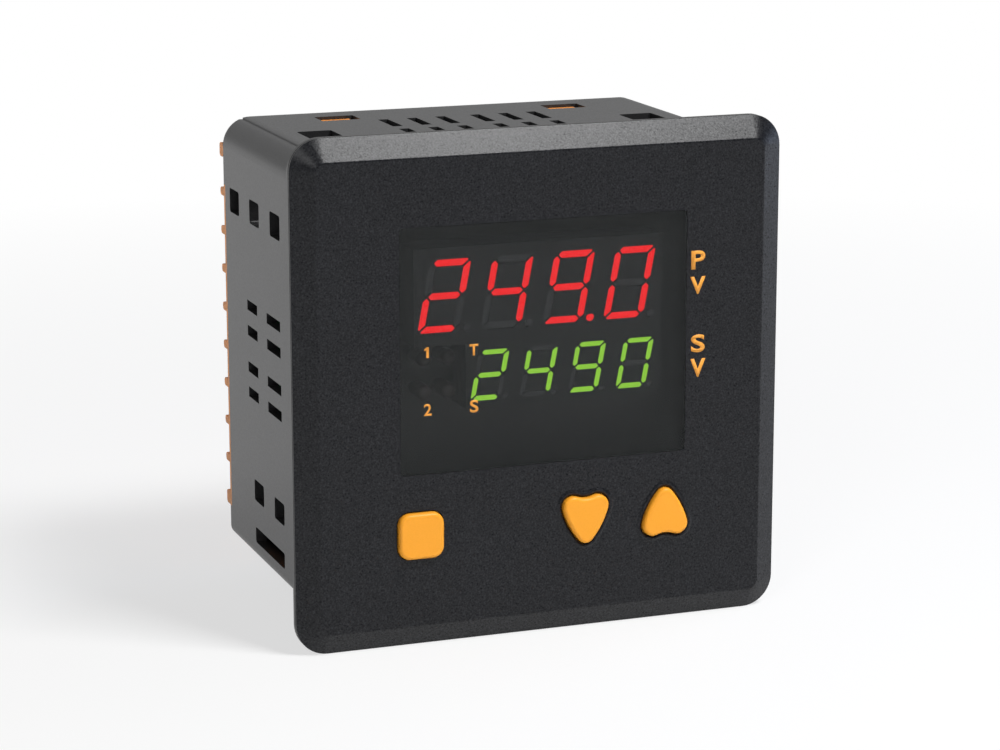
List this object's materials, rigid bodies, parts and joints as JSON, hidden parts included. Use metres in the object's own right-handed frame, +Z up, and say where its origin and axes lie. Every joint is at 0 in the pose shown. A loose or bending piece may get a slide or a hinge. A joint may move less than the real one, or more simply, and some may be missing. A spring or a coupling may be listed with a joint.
{
  "type": "panel temperature controller",
  "caption": "Square panel-mounted temperature controller with numeric displays behind a smoked window, front keys, a vented sleeve and rear screw terminals.",
  "frame": {"origin": "middle of the 96 x 96 mm front flange's rear face, which is the plane of the panel it is fitted in", "axes": "+X to the right seen from the front, +Y into the panel towards the terminals, +Z up; the front faces -Y"},
  "size_m": [0.096, 0.0638, 0.096],
  "materials": {
    "housing_plastic": "fine texture",
    "fascia_plastic": "textured",
    "smoked_lens": "polished, see-through",
    "module_plastic": "matt",
    "red_segments": "diffusing",
    "green_segments": "diffusing",
    "lamp_epoxy": "clear",
    "key_plastic": "satin",
    "plunger_plastic": "satin",
    "switch_plastic": "satin",
    "board_laminate": "solder mask",
    "base_laminate": "bare",
    "chip_epoxy": "matt",
    "header_plastic": "satin",
    "ferrite": "ground",
    "winding_tape": "tape",
    "capacitor_sleeve": "shrink sleeve",
    "relay_case": "satin",
    "cover_plastic": "satin",
    "tab_brass": "bright",
    "washer_steel": "plated",
    "screw_steel": "plated"
  },
  "bodies": {
    "instrument": {"housing": "housing_plastic", "front_fascia": "fascia_plastic", "display_window": "smoked_lens", "pv_display": "module_plastic", "sv_display": "module_plastic", "pv_segments": "red_segments", "sv_segments": "green_segments", "status_leds": "lamp_epoxy", "key_switches": "switch_plastic", "display_board": "board_laminate", "terminal_board": "board_laminate", "base_board": "base_laminate", "controller_chip": "chip_epoxy", "front_header": "header_plastic", "rear_header": "header_plastic", "transformer_core": "ferrite", "transformer_winding": "winding_tape", "input_capacitor": "capacitor_sleeve", "output_capacitor": "capacitor_sleeve", "output_relay_1": "relay_case", "output_relay_2": "relay_case", "rear_cover": "cover_plastic", "terminal_tabs_left": "tab_brass", "terminal_tabs_right": "tab_brass", "clamp_washers_left": "washer_steel", "clamp_washers_right": "washer_steel", "terminal_screws_left": "screw_steel", "terminal_screws_right": "screw_steel"},
    "set_button": {"key_set": "key_plastic", "set_plunger": "plunger_plastic"},
    "down_button": {"key_down": "key_plastic", "down_plunger": "plunger_plastic"},
    "up_button": {"key_up": "key_plastic", "up_plunger": "plunger_plastic"}
  },
  "joints": [
    {"name": "set_press", "type": "slide", "parent": "instrument", "child": "set_button", "axis": [0, 1, 0], "range_m": [0, 0.0005], "stiffness_N_per_m": 2000},
    {"name": "down_press", "type": "slide", "parent": "instrument", "child": "down_button", "axis": [0, 1, 0], "range_m": [0, 0.0005], "stiffness_N_per_m": 2000},
    {"name": "up_press", "type": "slide", "parent": "instrument", "child": "up_button", "axis": [0, 1, 0], "range_m": [0, 0.0005], "stiffness_N_per_m": 2000}
  ]
}
